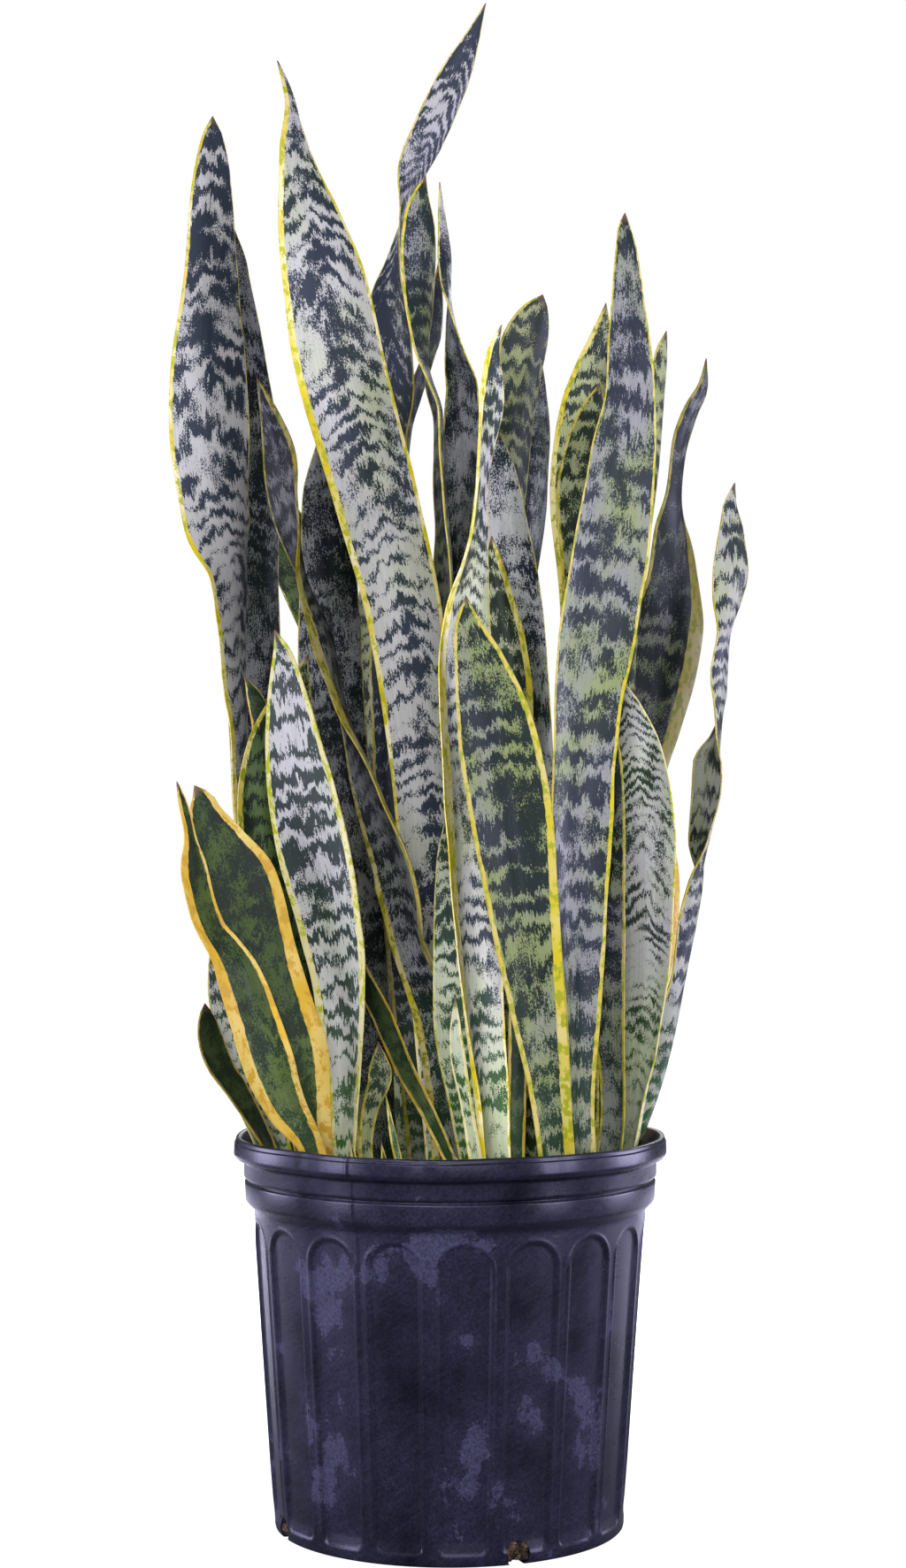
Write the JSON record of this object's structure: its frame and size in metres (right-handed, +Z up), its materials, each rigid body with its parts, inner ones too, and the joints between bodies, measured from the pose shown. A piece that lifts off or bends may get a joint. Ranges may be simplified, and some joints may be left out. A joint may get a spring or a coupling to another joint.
{
  "type": "potted snake plant",
  "caption": "Upright snake plant: tall sword-shaped banded leaves rising in a clump from bark mix in a round ribbed plastic nursery pot.",
  "frame": {"origin": "middle of the pot's base, on the surface it stands on", "axes": "+Z up along the pot's axis; -Y towards the front of the plant, where the leaves' faces look; +X to the right seen from the front"},
  "size_m": [0.3746, 0.2758, 0.983],
  "materials": {
    "black_plastic": "moulded black polypropylene with a faint blue cast, slightly glossy, dusty and water-marked",
    "potting_mix": "loose dark bark chips and peat, dry on top",
    "silver": "waxy leaf, pale grey-green with dark slate zigzag bands",
    "slate": "waxy leaf, dark slate green with pale green patches and yellow edges",
    "dusk": "waxy leaf seen from behind, near-black green with grey mottling",
    "white": "waxy leaf, silvery white with dark green flecks and cream edges",
    "olive": "waxy leaf, olive green with grey-green bands and yellow edges",
    "green": "waxy leaf, dark green with faint bands",
    "golden": "waxy leaf, dark green middle with broad golden edges",
    "golden_dark": "waxy leaf, dark green middle with narrow golden edges",
    "yellow": "thin dry yellow leaf"
  },
  "bodies": {
    "root": {"pot": "black_plastic", "soil": "potting_mix", "leaf_tall_left": "silver", "leaf_tall_left_rear": "dusk", "leaf_twisted_left": "dusk", "leaf_broad_silver": "silver", "leaf_tallest": "silver", "leaf_slim_centre": "slate", "leaf_slim_rear": "slate", "leaf_dark_centre_left": "dusk", "leaf_centre_twisted": "silver", "leaf_banded_centre": "olive", "leaf_banded_centre_rear": "dusk", "leaf_dark_centre": "dusk", "leaf_short_centre": "olive", "leaf_front_centre": "slate", "leaf_tall_right": "slate", "leaf_right_rear": "olive", "leaf_right_middle": "olive", "leaf_slim_right": "olive", "leaf_hooked_right": "slate", "leaf_outer_right": "silver", "leaf_front_right": "white", "leaf_narrow_right": "slate", "leaf_front_left": "white", "leaf_left_middle": "green", "leaf_golden_left": "golden", "leaf_golden_outer": "golden", "leaf_small_outer_left": "golden_dark", "leaf_pale_outer_left": "white", "leaf_leaning": "golden_dark", "leaf_pale_centre": "white", "leaf_small_centre": "white", "leaf_short_left_rear": "golden_dark", "leaf_small_left": "olive", "leaf_mottled_left": "dusk", "leaf_olive_left": "olive", "leaf_green_rear": "green", "leaf_curled_left": "olive", "leaf_thin_centre": "golden_dark", "leaf_thin_right": "golden_dark", "leaf_hidden_right": "golden", "shoot_left": "golden_dark", "shoot_thin": "green", "shoot_centre": "green", "shoot_yellow": "yellow"}
  },
  "joints": []
}
